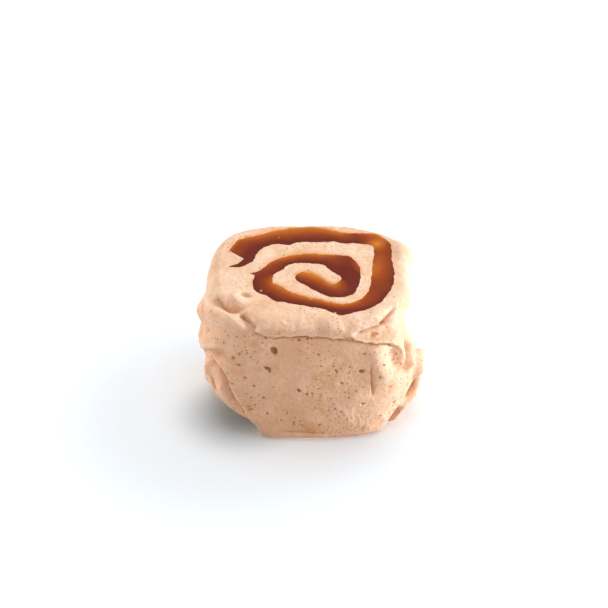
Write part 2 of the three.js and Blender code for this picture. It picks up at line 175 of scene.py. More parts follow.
ROUND_STEPS = 480
FRONT_BUNCHING = 0.35
FOOT_ROWS = 7
SIDE_ROWS = 114
SHOULDER_ROWS = 36
TOP_ROWS = 36
TOP_END = 0.985


def smooth_step(value):
    """3 v^2 - 2 v^3, with v held between 0 and 1."""
    value = np.clip(value, 0, 1)
    return value * value * (3 - 2 * value)


def smooth_line(points, steps):
    """Catmull-Rom curve through a list of points, with steps points to each stretch."""
    points = np.asarray(points, float)
    ends = np.vstack([2 * points[0] - points[1], points, 2 * points[-1] - points[-2]])
    share = (np.arange(steps) / steps)[None, :, None]
    a, b, c, d = (ends[k:len(points) - 1 + k, None, :] for k in range(4))
    bend = (2 * a - 5 * b + 4 * c - d) * share + (3 * b - a - 3 * c + d) * share ** 2
    curve = b + 0.5 * share * (c - a + bend)
    return np.vstack([curve.reshape(-1, points.shape[1]), points[-1:]])


def girth_at(z):
    """Half width, half depth, squareness and lean at height z, eased from each level to the next."""
    level = np.clip(np.searchsorted(GIRTH[:, 0], z, side="right") - 1, 0, len(GIRTH) - 2)
    lower, upper = GIRTH[level], GIRTH[level + 1]
    share = smooth_step((z - lower[..., 0]) / (upper[..., 0] - lower[..., 0]))
    return np.moveaxis(lower[..., 1:] + (upper - lower)[..., 1:] * share[..., None], -1, 0)


def outline_radius(around, z):
    """Radius of the superellipse |x / half width|^s + |y / half depth|^s = 1 at an angle from the front."""
    half_width, half_depth, squareness, _ = girth_at(z)
    across = np.abs(np.sin(np.radians(around)) / half_width) ** squareness
    along = np.abs(np.cos(np.radians(around)) / half_depth) ** squareness
    return (across + along) ** (-1 / squareness)


def shoulder_round(around):
    """The upper edge's radius swings from the front's to the back's with the cosine of the angle."""
    front = (1 + np.cos(np.radians(around))) / 2
    return SHOULDER_BACK + (SHOULDER_FRONT - SHOULDER_BACK) * front


def fold_relief(around, up):
    """Sum of the folds: each rises by rise * exp(-(distance to the path / spread)^2), faded at the ends of
    its path, and slides to the right of the path by its lap times the same bell. A fold that laps has a
    narrow tuck under its edge, which wavers a little. Returns the rise, the slide round, the slide up and
    the painted light: painted shade above 0 in tucks and narrow creases, a painted highlight below 0 along
    sharp edges."""
    total = np.zeros((4, *np.shape(around)))
    waver = sum(size * np.sin(waves * np.radians(around) + slant * up) for waves, slant, size in WAVERS)
    for path, rise, left, right, ends, lap in FOLDS:
        line = smooth_line(path, FOLD_STEPS)
        middle = (line[:, 0].min() + line[:, 0].max()) / 2
        turn = (around - middle + 180) % 360 - 180 + middle
        line[:, 0] = np.radians(line[:, 0]) * FOLD_UNROLL
        place = np.stack([np.radians(turn) * FOLD_UNROLL, up + waver * (lap != 0)], -1)
        margin = max(FOLD_REACH * max(left, right), LAP_TUCK_AT + FOLD_REACH * LAP_TUCK_SPREAD)
        near = ((place > line.min(0) - margin) & (place < line.max(0) + margin)).all(-1)
        spot = place[near]
        distance = np.full(len(spot), np.inf)
        side = np.ones(len(spot))
        along = np.zeros(len(spot))
        sideways = np.zeros((len(spot), 2))
        for k, (start, step) in enumerate(zip(line[:-1], np.diff(line, axis=0))):
            offset = spot - start
            share = np.clip(offset @ step / (step @ step), 0, 1)
            gap = np.linalg.norm(offset - share[:, None] * step, axis=1)
            nearer = gap < distance
            distance = np.where(nearer, gap, distance)
            side = np.where(nearer, step[0] * offset[:, 1] - step[1] * offset[:, 0], side)
            along = np.where(nearer, (k + share) / (len(line) - 1), along)
            sideways[nearer] = np.array([step[1], -step[0]]) / np.linalg.norm(step)
        fade = np.minimum(smooth_step(along / ends[0]), smooth_step((1 - along) / ends[1]))
        bell = fade * np.exp(-(distance / np.where(side >= 0, left, right)) ** 2)
        tuck = np.exp(-((distance - LAP_TUCK_AT) / LAP_TUCK_SPREAD) ** 2) * fade * (np.sign(side) * lap < 0)
        # The shade channel is painted light: painted shade in the tuck under a lapped edge and in narrow
        # creases, a painted highlight (below 0) along sharp edges.
        shade = TUCK_PAINTED_SHADE * LAP_TUCK * tuck
        if rise < 0:
            shade = shade - rise * bell * np.clip((CREASE_WIDEST - max(left, right)) / CREASE_FADE, 0, 1)
        if 0 < rise < EDGE_RISE and min(left, right) < EDGE_WIDTH < max(left, right):
            shade = shade - rise * fade * np.exp(-(distance / EDGE_SPREAD) ** 2)
        total[:, near] += np.stack([rise * bell - LAP_TUCK * tuck, *(lap * bell * sideways.T), shade])
    return total


chance = np.random.default_rng(LUMP_SEED)
lump_turns = chance.normal(size=(LUMP_WAVES, 3))
lump_turns /= np.linalg.norm(lump_turns, axis=1, keepdims=True)
lump_lengths = chance.uniform(*LUMP_LENGTHS, LUMP_WAVES)
lump_phases = chance.uniform(0, 2 * np.pi, LUMP_WAVES)


def lump_height(x, y, z):
    """Gentle unevenness: a sum of sine waves in all directions, each as high as a set share of its length,
    and calmer on the cut face."""
    total = np.zeros(np.shape(x))
    for turn, length, phase in zip(lump_turns, lump_lengths, lump_phases):
        along = turn[0] * x + turn[1] * y + turn[2] * z
        total += LUMP_SHARE * length * np.sin(along * 2 * np.pi / length + phase)
    return total * (1 - LUMP_TOP_CALM * smooth_step((z - HEIGHT + SHOULDER_FRONT) / SHOULDER_FRONT))


chance = np.random.default_rng(BUBBLE_SEED)
small_half_widths = chance.uniform(*SMALL_BUBBLE_RADIUS, SMALL_BUBBLES)
small_bubbles = np.column_stack([
    chance.uniform(-180, 180, SMALL_BUBBLES),
    chance.uniform(*SMALL_BUBBLE_UP, SMALL_BUBBLES),
    chance.uniform(*SMALL_BUBBLE_STRETCH, SMALL_BUBBLES) * small_half_widths,
    small_half_widths,
    chance.uniform(0, 180, SMALL_BUBBLES),
    small_half_widths,
])
bubbles = np.vstack([np.array(BUBBLES), small_bubbles])


def bubble_depth(around, up):
    """Depth of the broken bubbles: depth * exp(-(distance / radius)^4), a flat-bottomed pit, where the
    radius is that of an ellipse turned by the bubble's tilt."""
    total = np.zeros(np.shape(around))
    for turn, rise, half_length, half_width, tilt, depth in bubbles:
        sideways = np.radians((around - turn + 180) % 360 - 180) * FOLD_UNROLL
        cosine, sine = np.cos(np.radians(tilt)), np.sin(np.radians(tilt))
        lengthways = (sideways * cosine + (up - rise) * sine) / half_length
        crossways = ((up - rise) * cosine - sideways * sine) / half_width
        total += depth * np.exp(-(lengthways ** 2 + crossways ** 2) ** 2)
    return total


def skin(around, climb):
    """The chunk's skin. climb goes 0 to 1 round the foot, to 2 up the side, to 3 over the shoulder and to 4
    in to the middle of the top. The folds move a point outwards on the side and upwards on the top, and no
    point sinks below the foot. Returns the place of each point, the depth of its bubble, the painted shade
    and highlight of its folds and its way up the skin."""
    round_over = shoulder_round(around)
    foot = np.clip(climb, 0, 1) * np.pi / 2
    side = np.clip(climb - 1, 0, 1) * (HEIGHT - round_over - FOOT_ROUND)
    bend = np.clip(climb - 2, 0, 1) * np.pi / 2
    inward = np.clip(climb - 3, 0, 1)
    level = FOOT_ROUND * (1 - np.cos(foot)) + side + round_over * np.sin(bend)
    edge = outline_radius(around, level) - FOOT_ROUND * (1 - np.sin(foot)) - round_over * (1 - np.cos(bend))
    radius = edge * (1 - inward)
    z = level + CROWN * (1 - (1 - inward) ** 2)
    up = FOOT_ROUND * (1 - np.cos(foot)) + side + round_over * bend + edge * inward
    lean = girth_at(level)[3]
    turn = np.radians(around)
    pit = bubble_depth(around, up)
    lump = lump_height(radius * np.sin(turn), -radius * np.cos(turn), z) * smooth_step(up / LUMP_FOOT_CALM)
    rise, slide_round, slide_up, crease = fold_relief(around, up)
    relief = rise + lump - pit
    reach = radius + np.cos(bend) * relief - np.sin(bend) * slide_up
    x = reach * np.sin(turn) + slide_round * np.cos(turn) + lean
    y = -reach * np.cos(turn) + slide_round * np.sin(turn)
    z = np.maximum(z + np.sin(bend) * relief + np.cos(bend) * slide_up, 0)
    return np.stack([x, y, z], -1), pit, crease, up


def grid_faces(rows, columns):
    """Quads between neighbouring rows of a grid whose columns close on themselves."""
    start = np.arange(rows - 1)[:, None] * columns
    here = np.arange(columns)[None, :]
    beside = (here + 1) % columns
    corners = [start + here, start + beside, start + columns + beside, start + columns + here]
    return np.stack(corners, -1).reshape(-1, 4)


def mesh_piece(name, grid):
    """A closed mesh from a grid of points in millimetres: quads between its rows, and strips that close the
    first and the last row, from each of its points to the one as far back from its end."""
    rows, columns = grid.shape[:2]
    here = np.arange(columns // 2 - 1)
    strips = np.stack([columns - 1 - here, columns - 2 - here, here + 1, here], -1)
    faces = np.concatenate([grid_faces(rows, columns), strips, strips[:, ::-1] + (rows - 1) * columns])
    mesh = bpy.data.meshes.new(name)
    mesh.from_pydata((grid * MM).reshape(-1, 3).tolist(), [], faces.tolist())
    mesh.polygons.foreach_set("use_smooth", np.ones(len(faces), bool))
    piece = bpy.data.objects.new(name, mesh)
    bpy.context.scene.collection.objects.link(piece)
    return piece


climbs = np.concatenate([
    np.arange(FOOT_ROWS) / FOOT_ROWS,
    1 + np.arange(SIDE_ROWS) / SIDE_ROWS,
    2 + np.arange(SHOULDER_ROWS) / SHOULDER_ROWS,
    3 + TOP_END * np.arange(TOP_ROWS + 1) / TOP_ROWS,
])
even_turns = np.arange(ROUND_STEPS) * 2 * np.pi / ROUND_STEPS
turns = np.degrees(even_turns - FRONT_BUNCHING * np.sin(even_turns))
skin_grid, pit_grid, fold_shade_and_highlight_grid, up_grid = skin(*np.broadcast_arrays(turns[None, :], climbs[:, None]))
cream = mesh_piece("cream_chunk", skin_grid)
# Depth of each broken bubble, which the colour also uses to paint shade into the pits.
cream.data.attributes.new("pit", "FLOAT", "POINT").data.foreach_set("value", pit_grid.ravel())
# Painted shade of the folds' tucks and creases, and painted highlights along their edges, kept for the
# colour.
cream.data.attributes.new("crease", "FLOAT", "POINT").data.foreach_set("value", fold_shade_and_highlight_grid.ravel())

# The room for the caramel: x and y of its outer edge, then of its inner edge, on the upper face, from the
# torn tail to the eye.
RIBBON = [
    (-9.27, 4.6, -6.45, 2.15), (-8.5, 6.5, -6.2, 3.15), (-7.6, 7.25, -5.9, 4.2),
    (-6.2, 7.8, -5.2, 5.15), (-4.7, 8.6, -4.2, 5.75), (-3.15, 9.15, -3.15, 5.8),
    (-2.25, 9.4, -2.45, 5.55), (-1.3, 9.55, -1.55, 6.1), (-0.1, 9.65, -0.25, 6.2),
    (1.45, 9.4, 1.45, 6.2), (2.95, 8.8, 2.65, 6.3), (3.9, 8.35, 3.75, 5.95),
    (5.55, 8.3, 5.25, 6), (7.25, 8.35, 6.35, 5.8), (8.4, 7.45, 6.95, 5.65),
    (9.15, 5.95, 7.25, 5.15), (9.3, 4.45, 7.3, 3.85), (9.3, 2.55, 7.1, 2),
    (9.5, 0.35, 6.95, 0.1), (9.45, -0.9, 6.85, -1.3), (9.25, -2.65, 6.65, -3.05),
    (8.6, -4.45, 6.2, -4.45), (7.8, -6, 5.55, -5.4), (6.65, -7.15, 4.65, -6.05),
    (5.25, -7.85, 3.9, -6.3), (4.25, -8.3, 3.5, -6.35), (3.35, -8.55, 2.8, -6.2),
    (2.5, -8.1, 1.9, -5.85), (1.45, -7.35, 1.15, -5.5), (-0.1, -6.85, -0.25, -5),
    (-1.6, -6.45, -1.45, -4.45), (-2.85, -6.1, -2.25, -4), (-3.9, -5.85, -3, -3.05),
    (-4.7, -5, -3.7, -2.5), (-5.6, -4.3, -4.1, -2.25), (-6.15, -3.8, -4.2, -1.6),
    (-6.4, -2.8, -4.15, -1), (-6.35, -1.4, -3.95, -0.45), (-6.1, -0.3, -3.7, -0.15),
    (-5.75, 0.12, -3.3, 0.17), (-5.05, 1.25, -2.95, 0.6), (-4.05, 2.42, -2.55, 1.27),
    (-2.85, 3.2, -2, 1.6), (-1.3, 3.7, -1.25, 1.8), (0.2, 3.9, -0.25, 1.7),
    (1.75, 3.7, 0.8, 1.55), (3.1, 3.55, 1.65, 1.2), (4.35, 3.3, 2.2, 0.25),
    (5.1, 2.4, 2.75, -0.3), (5.55, 1.15, 3.3, -0.9), (5.7, -0.75, 3.5, -1.3),
    (5.4, -2.7, 3.3, -1.8), (4.95, -4.25, 2.95, -2.15), (3.9, -5.06, 2.5, -2.31),
    (2.75, -5.18, 2, -2.03), (1.6, -4.74, 1.45, -1.34), (0.45, -3.76, 0.65, -0.46),
    (-0.65, -2.67, -0.1, -0.07), (-1.4, -1.89, -0.95, 0.01), (-1.7, -1.2, -1.55, -0.55),
]
RIBBON_FOOT_SHARE = 0.88
RIBBON_STEPS = 7
TAIL_ACROSS = [-1.0, -0.7, -0.4, -0.22, 0.1, 0.45, 1.0]
TAIL_PULL_X = [0.0, -0.87, -2.2, -0.6, 0.5, 0.3, 0.0]
TAIL_PULL_Y = [0.0, -1.55, -1.75, -1.35, -0.75, -0.45, 0.0]
TAIL_STATIONS = 2.0
SPUR_AT = (-6.1, -0.1)
SPUR_PULL = (-0.75, -0.1)
SPUR_SIZE = 0.4
EDGE_WAVES = [(1.9, 0.03), (1.1, 0.03), (0.6, 0.02)]  # length and size
EDGE_WAVE_SHIFT = 2.1
EDGE_SIDE_SHIFT = 1.3

edges = smooth_line(RIBBON, RIBBON_STEPS)
outer_edge, inner_edge = edges[:, :2], edges[:, 2:]
to_spur = np.linalg.norm(outer_edge - SPUR_AT, axis=1)
outer_edge = outer_edge + np.array(SPUR_PULL) * np.exp(-(to_spur / SPUR_SIZE) ** 2)[:, None]
ribbon_across = outer_edge - inner_edge
ribbon_half = np.linalg.norm(ribbon_across, axis=1) / 2
ribbon_outward = ribbon_across / (2 * ribbon_half[:, None])
ribbon_strides = np.linalg.norm(np.diff(outer_edge + inner_edge, axis=0), axis=1) / 2
ribbon_along = np.concatenate([[0], np.cumsum(ribbon_strides)])


def ribbon_wall(across, grow):
    """The ribbon on the upper face: from its inner edge at -1 to its outer edge at 1, each moved out by
    grow and by small ragged waves, with one prong of its torn tail drawn out. One row for each step."""
    ragged = np.zeros(np.shape(across))
    for k, (length, size) in enumerate(EDGE_WAVES):
        shift = EDGE_WAVE_SHIFT * k + EDGE_SIDE_SHIFT * np.sign(across)
        ragged += size * np.sin(2 * np.pi * ribbon_along[:, None] / length + shift)
    middle = ((outer_edge + inner_edge) / 2)[:, None, :]
    sideways = across * (ribbon_half[:, None] + grow + ragged * np.abs(across))
    fade = np.clip(1 - np.arange(len(edges)) / (TAIL_STATIONS * RIBBON_STEPS), 0, 1)[:, None] ** 2
    pull = [np.interp(across, TAIL_ACROSS, amount) * fade for amount in (TAIL_PULL_X, TAIL_PULL_Y)]
    return middle + ribbon_outward[:, None, :] * sideways[..., None] + np.stack(pull, -1)


def drawn_in(flat, z):
    """Points of the upper face at height z, where the ribbon is drawn in towards the foot."""
    share = RIBBON_FOOT_SHARE + (1 - RIBBON_FOOT_SHARE) * z / HEIGHT
    return np.concatenate([flat * share[..., None], z[..., None]], -1)


# Painted glow: the cream beside the caramel's clear edge is painted amber, as if lit by light shining
# through the caramel. The clear edge is the one towards the direction below, between away from the camera
# and away from the lamp on the right. A few spots of the skin are amber too; the one at -71.5 degrees is
# painted glow of light shining through the thin knob at the left.
CLEAR_TO = np.array([-0.25, 0.97])
CLEAR_POWER = 0.7
GLOW_REACH = 0.3
AMBER_SPOTS = [  # degrees round, millimetres up the skin, reach and strength
    (36.5, 14.4, 0.46, 1.0), (-71.5, 14.0, 1.0, 0.7), (-57.0, 19.3, 0.7, 0.4),
]
facing = ribbon_outward @ CLEAR_TO
clear = np.abs(facing) ** CLEAR_POWER
clear_edge = np.where(facing[:, None] > 0, outer_edge, inner_edge)
on_top = skin_grid[-TOP_ROWS:].reshape(-1, 3)
stain = np.zeros(pit_grid.shape)
for spot, strength in zip(clear_edge, clear):
    apart = np.linalg.norm(on_top[:, :2] - spot, axis=1)
    glow = (strength * np.exp(-(apart / GLOW_REACH) ** 2)).reshape(TOP_ROWS, -1)
    stain[-TOP_ROWS:] = np.maximum(stain[-TOP_ROWS:], glow)
for spot_turn, spot_up, reach, strength in AMBER_SPOTS:
    sideways = np.radians((turns - spot_turn + 180) % 360 - 180) * FOLD_UNROLL
    apart = np.hypot(sideways, up_grid - spot_up)
    stain = np.maximum(stain, strength * np.exp(-(apart / reach) ** 4))
cream.data.attributes.new("stain", "FLOAT", "POINT").data.foreach_set("value", stain.ravel())

SLOT_OVERRUN = 2.0
TOP_POINTS = 19
CREAM_SHARP = 75.0
slot_across = np.linspace(1, -1, TOP_POINTS)
slot_flat = ribbon_wall(np.tile(np.concatenate([slot_across, slot_across[::-1]]), (len(edges), 1)), 0.0)
slot_z = np.repeat([HEIGHT + SLOT_OVERRUN, -SLOT_OVERRUN], TOP_POINTS)
slot = mesh_piece("slot", drawn_in(slot_flat, np.broadcast_to(slot_z, slot_flat.shape[:2])))
cut = cream.modifiers.new("slot", "BOOLEAN")
cut.operation = "DIFFERENCE"
cut.solver = "MANIFOLD"
cut.object = slot
cream_mesh = bpy.data.meshes.new_from_object(cream.evaluated_get(bpy.context.evaluated_depsgraph_get()))
cream.modifiers.clear()
cream.data = cream_mesh
bpy.data.objects.remove(slot)
cream.data.set_sharp_from_angle(angle=math.radians(CREAM_SHARP))


class Wire:
    """One output socket of a material's node tree. Arithmetic on wires adds Math nodes, so that a shade
    reads as a formula, and node() adds any other kind of node."""

    def __init__(self, tree, socket=None):
        self.tree = tree
        self.socket = socket

    def node(self, kind, settings, inputs, output=0):
        """Adds a node with its settings and its inputs' values or wires, and returns one output's wire."""
        made = self.tree.nodes.new("ShaderNode" + kind)
        for name, value in settings.items():
            if name == "stops":
                for position, _ in value[1:-1]:
                    made.color_ramp.elements.new(position)
                for element, (position, colour) in zip(made.color_ramp.elements, value):
                    element.position = position
                    element.color = (*colour, 1)
            else:
                setattr(made, name, value)
        for name, value in inputs.items():
            if isinstance(value, Wire):
                self.tree.links.new(value.socket, made.inputs[name])
            else:
                made.inputs[name].default_value = value
        return Wire(self.tree, made.outputs[output]) if made.outputs else made

    def maths(self, operation, first, second):
        """A Math node on two values or wires."""
        return self.node("Math", {"operation": operation}, {0: first, 1: second})

    def __add__(self, other):
        return self.maths("ADD", self, other)

    def __radd__(self, other):
        return self.maths("ADD", other, self)

    def __sub__(self, other):
        return self.maths("SUBTRACT", self, other)

    def __rsub__(self, other):
        return self.maths("SUBTRACT", other, self)

    def __mul__(self, other):
        return self.maths("MULTIPLY", self, other)

    def __rmul__(self, other):
        return self.maths("MULTIPLY", other, self)

    def blend(self, low, high):
        """The colour low where this wire is 0, and high where it is 1."""
        settings = {"data_type": "RGBA", "clamp_factor": True}
        return self.node("Mix", settings, {0: self, 6: low, 7: high}, 2)

    def ramp(self, low, high):
        """0 below low, 1 above high and smooth between them."""
        settings = {"interpolation_type": "SMOOTHSTEP"}
        return self.node("MapRange", settings, {"Value": self, "From Min": low, "From Max": high})


def new_material(name):
    """An empty material and a wire to start its nodes from."""
    material = bpy.data.materials.new(name)
    material.use_nodes = True
    material.node_tree.nodes.clear()
    return material, Wire(material.node_tree)


CREAM = (0.785, 0.48, 0.315, 1)
CREAM_PALE = (0.83, 0.56, 0.40, 1)
CREAM_WARM = (0.71, 0.41, 0.25, 1)
OCHRE = (0.64, 0.32, 0.13, 1)
SPECK = (0.26, 0.05, 0.01, 1)
# Painted shade in the pits:
PIT_PAINTED_SHADE = (0.38, 0.15, 0.055, 1)
# Painted amber glow beside the caramel, also used for the amber spots:
GLOW_AND_SPOT_AMBER = (0.66, 0.24, 0.06, 1)
# Painted shade for creases and deep slots, and a painted highlight for sharp edges:
CREASE_PAINTED_SHADE = (0.58, 0.225, 0.075, 1)
SLOT_PAINTED_SHADE = (0.13, 0.045, 0.016, 1)
EDGE_PAINTED_HIGHLIGHT = (0.9, 0.62, 0.43, 1)
# Side tint: partly the skin's own colour, partly painted warm shade on the sides:
SIDE_TINT_AND_SHADE = (1.0, 0.93, 0.88, 1)
CREAM_NOISES = {  # waves to the metre and detail
    "cloud": (190.0, 3.0),
    "grain": (2200.0, 4.0),
    "mottle": (620.0, 3.0),
    "patch": (330.0, 4.0),
    "crowd": (260.0, 2.0),
}
CLOUD_SPAN = (0.35, 0.65)
CREAM_EVENNESS = 0.5
CREAM_TINTS = [  # noise, the span over which the tint sets in, its strength and colour
    ("mottle", (0.5, 0.7), 0.55, CREAM_PALE),
    ("mottle", (0.5, 0.3), 0.45, CREAM_WARM),
    ("grain", (0.62, 0.38), 0.5, CREAM_WARM),
    ("patch", (0.52, 0.7), 0.5, OCHRE),
]
SIDE_END = (13.6, 15.6)
CROWD_SPAN = (0.36, 0.6)
CROWD_ON_TOP = 0.58
SPECK_LAYERS = [(2200.0, 0.28, 0.3), (1300.0, 0.23, 0.36), (700.0, 0.15, 0.4)]  # cells, size and rarity
SPECK_CORE = 0.45
SPECK_FADE = 0.1
SPECK_STRENGTH = 0.72
SPECK_TEARS = 5000.0
SPECK_TORN = 0.3
# Painted light on the cream: a pale highlight painted along sharp edges, shade painted brown into creases
# and tucks and dark into deep slots, and shade painted into the pits.
PAINTED_SHADE_AND_HIGHLIGHT = [  # attribute, the span over which the mark sets in, its strength and colour
    ("crease", (-0.05, -0.5), 0.5, EDGE_PAINTED_HIGHLIGHT),
    ("crease", (0.1, 0.9), 0.6, CREASE_PAINTED_SHADE),
    ("crease", (0.65, 1.2), 0.9, SLOT_PAINTED_SHADE),
    ("pit", (0.04, 0.16), 0.65, PIT_PAINTED_SHADE),
]
# Strength of the painted amber glow and of the amber spots:
GLOW_AND_SPOT_STRENGTH = 0.7
CREAM_BUMP = 0.12
MOTTLE_BUMP = 2.0
CREAM_SATIN = 0.46
CREAM_SATIN_GRAIN = 0.16
CREAM_GLOW_DEPTH = 0.3

cream_finish, start = new_material("pulled_cream")
place = start.node("TexCoord", {}, {}, "Object")
noises = {}
for name, (scale, detail) in CREAM_NOISES.items():
    noises[name] = start.node("TexNoise", {}, {"Vector": place, "Scale": scale, "Detail": detail})
colour = noises["cloud"].ramp(*CLOUD_SPAN).blend(CREAM_WARM, CREAM_PALE)
colour = start.node("Mix", {"data_type": "RGBA"}, {0: CREAM_EVENNESS, 6: colour, 7: CREAM}, 2)
for name, span, strength, tint in CREAM_TINTS:
    colour = (noises[name].ramp(*span) * strength).blend(colour, tint)
# The sides are tinted warmer and a little darker than the cut top: partly the skin's own colour, partly
# painted shade.
height = start.node("SeparateXYZ", {}, {"Vector": place}, "Z") * (1 / MM)
on_side = 1 - height.ramp(*SIDE_END)
multiply = {"data_type": "RGBA", "blend_type": "MULTIPLY"}
colour = start.node("Mix", multiply, {0: on_side, 6: colour, 7: SIDE_TINT_AND_SHADE}, 2)
crowd = noises["crowd"].ramp(*CROWD_SPAN) * (CROWD_ON_TOP + (1 - CROWD_ON_TOP) * on_side)
ragged = start.node("TexNoise", {}, {"Vector": place, "Scale": SPECK_TEARS, "Detail": 1.0}, "Color")
tears = {0: ragged, 1: (SPECK_TORN * MM,) * 3, 2: place}
torn = start.node("VectorMath", {"operation": "MULTIPLY_ADD"}, tears)
for scale, size, rarity in SPECK_LAYERS:
    cells = {"Vector": torn, "Scale": scale}
    distance = start.node("TexVoronoi", {}, cells, "Distance")
    lot = start.node("SeparateColor", {}, {"Color": start.node("TexVoronoi", {}, cells, "Color")})
    speck = (1 - distance.ramp(size * SPECK_CORE, size)) * (lot * crowd).ramp(rarity, rarity + SPECK_FADE)
    colour = (speck * SPECK_STRENGTH).blend(colour, SPECK)
# Paint the highlights along sharp edges and the shade in creases, slots and pits.
for name, span, strength, tint in PAINTED_SHADE_AND_HIGHLIGHT:
    mark = start.node("Attribute", {"attribute_name": name}, {}, "Fac")
    colour = (mark.ramp(*span) * strength).blend(colour, tint)
# Paint the amber glow beside the caramel's clear edge, and the amber spots.
mark = start.node("Attribute", {"attribute_name": "stain"}, {}, "Fac")
colour = (mark * GLOW_AND_SPOT_STRENGTH).blend(colour, GLOW_AND_SPOT_AMBER)
unevenness = noises["grain"] + MOTTLE_BUMP * noises["mottle"]
bump = start.node("Bump", {}, {"Strength": 1.0, "Distance": CREAM_BUMP * MM, "Height": unevenness})
shell = start.node("BsdfPrincipled", {}, {
    "Base Color": colour,
    "Roughness": CREAM_SATIN + CREAM_SATIN_GRAIN * noises["grain"],
    "Normal": bump,
    "Subsurface Weight": 0.3,
    "Subsurface Radius": (1.0, 0.55, 0.3),
    "Subsurface Scale": CREAM_GLOW_DEPTH * MM,
    "IOR": 1.45,
    "Specular IOR Level": 0.15,
})
start.node("OutputMaterial", {}, {"Surface": shell})
cream.data.materials.clear()
cream.data.materials.append(cream_finish)
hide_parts("taffy")
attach(cream, "root")


# Caramel ribbon
# A sheet of clear red-brown caramel was laid on the cream before the rope was rolled, so it winds nearly
# twice round and runs through the chunk from face to face. It was cut with the cream and is bonded to it
# all along, its cut face a little sunk, smooth and glossy.
CARAMEL_BITE = 0.06
CARAMEL_SUNK = 0.01
CARAMEL_SAG = 0.03
CARAMEL_FOOT = 0.02
CARAMEL_SHARP = 50.0
WALL_POINTS = 5


def top_height(x, y):
    """Height of the cream's upper face over a point: the skin's top, or its shoulder beyond the flat."""
    around = np.degrees(np.arctan2(x, -y))
    round_over = shoulder_round(around)
    edge = outline_radius(around, np.full(np.shape(x), HEIGHT)) - round_over
    radius = np.hypot(x, y)
    inward = np.clip(1 - radius / edge, 0, 1)
    drop = round_over - np.sqrt(np.maximum(round_over ** 2 - np.maximum(radius - edge, 0) ** 2, 0))
    z = HEIGHT + CROWN * (1 - (1 - inward) ** 2)
    up = HEIGHT - round_over + round_over * np.pi / 2 + edge - radius
    return z - drop + fold_relief(around, up)[0] + lump_height(x, y, z)


edge_heights = np.linspace(0.5, 1, WALL_POINTS + 1)[:-1] + 0.25 / WALL_POINTS
half_across = np.concatenate([np.ones(WALL_POINTS), np.linspace(1, -1, TOP_POINTS), -np.ones(WALL_POINTS)])
half_height = np.concatenate([edge_heights, np.ones(TOP_POINTS), edge_heights[::-1]])
across = np.tile(np.concatenate([half_across, half_across[::-1]]), (len(edges), 1))
profile_height = np.concatenate([half_height, 1 - half_height[::-1]])
ribbon_flat = ribbon_wall(across, CARAMEL_BITE)
ribbon_top = top_height(ribbon_flat[..., 0], ribbon_flat[..., 1]) - CARAMEL_SUNK - CARAMEL_SAG * across ** 2
ribbon_z = CARAMEL_FOOT + (ribbon_top - CARAMEL_FOOT) * profile_height
caramel = mesh_piece("caramel_ribbon", drawn_in(ribbon_flat, ribbon_z))
caramel.data.set_sharp_from_angle(angle=math.radians(CARAMEL_SHARP))

# Painted glow and shade in the caramel: each point gets a value, low where it is painted lit through and
# high where it is painted in shade.
CLEAR_MIDDLE = 0.75
TAIL_DULL = 0.3
TAIL_DULL_LENGTH = 3.0
RIM_SHARE = 0.2
RIM_LIFT = 0.3
GLOWS = [  # x, y, reach along each and lift
    (7.5, 5.8, 1.2, 1.0, 0.52), (7.4, 2.0, 1.8, 4.2, 0.42), (4.6, 3.0, 1.6, 1.4, -0.45),
    (5.4, 8.0, 1.3, 1.2, -0.35), (4.6, -0.8, 1.2, 2.2, -0.5), (-0.5, -0.8, 1.4, 1.1, 0.12),
    (3.0, -7.6, 2.2, 1.0, -0.2),
]
CARAMEL_STOPS = [
    (0.0, (0.72, 0.39, 0.21)),
    (0.2, (0.65, 0.182, 0.02)),
    (0.35, (0.44, 0.107, 0.015)),
    (0.56, (0.28, 0.048, 0.011)),
    (0.85, (0.14, 0.021, 0.011)),
]
GLOW_AND_SHADE_START = 0.2
GLOW_AND_SHADE_SPAN = 0.8
STREAKS = 700.0
STREAK_MIDDLE = 0.5
STREAK_DEPTH = 0.22
RIPPLES = 650.0
RIPPLE_BUMP = 0.1
FLECKS = 1100.0
FLECK_SPAN = (0.08, 0.2)
FLECK_LOT = (0.12, 0.08)
FLECK_STRENGTH = 0.6
CARAMEL_GLOSS = 0.12
CARAMEL_GLOSS_STREAK = 0.12

# Each band is painted lighter towards its clear edge, lightest along a rim there, as if lit by light
# shining through it onto the cream, and darker towards its other edge; bands that face neither way get an
# even middle shade. It is also darker near the torn tail, and the listed glows paint spots lighter or, with
# a negative lift, darker.
lit_side = across * np.sign(facing)[:, None]
clear = clear[:, None]
murk = CLEAR_MIDDLE * (1 - clear) + clear * (1 - lit_side) / 2
murk = murk - RIM_LIFT * clear * smooth_step((lit_side - 1 + RIM_SHARE) / RIM_SHARE)
murk = murk + TAIL_DULL * np.exp(-(ribbon_along / TAIL_DULL_LENGTH) ** 2)[:, None]
for glow_x, glow_y, reach_x, reach_y, lift in GLOWS:
    apart = (ribbon_flat - (glow_x, glow_y)) / (reach_x, reach_y)
    murk = murk - lift * np.exp(-(apart ** 2).sum(-1))
caramel.data.attributes.new("murk", "FLOAT", "POINT").data.foreach_set("value", murk.ravel())

caramel_finish, start = new_material("clear_caramel")
place = start.node("TexCoord", {}, {}, "Object")
streak = start.node("TexNoise", {}, {"Vector": place, "Scale": STREAKS, "Detail": 3.0})
ripple = start.node("TexNoise", {}, {"Vector": place, "Scale": RIPPLES, "Detail": 2.0})
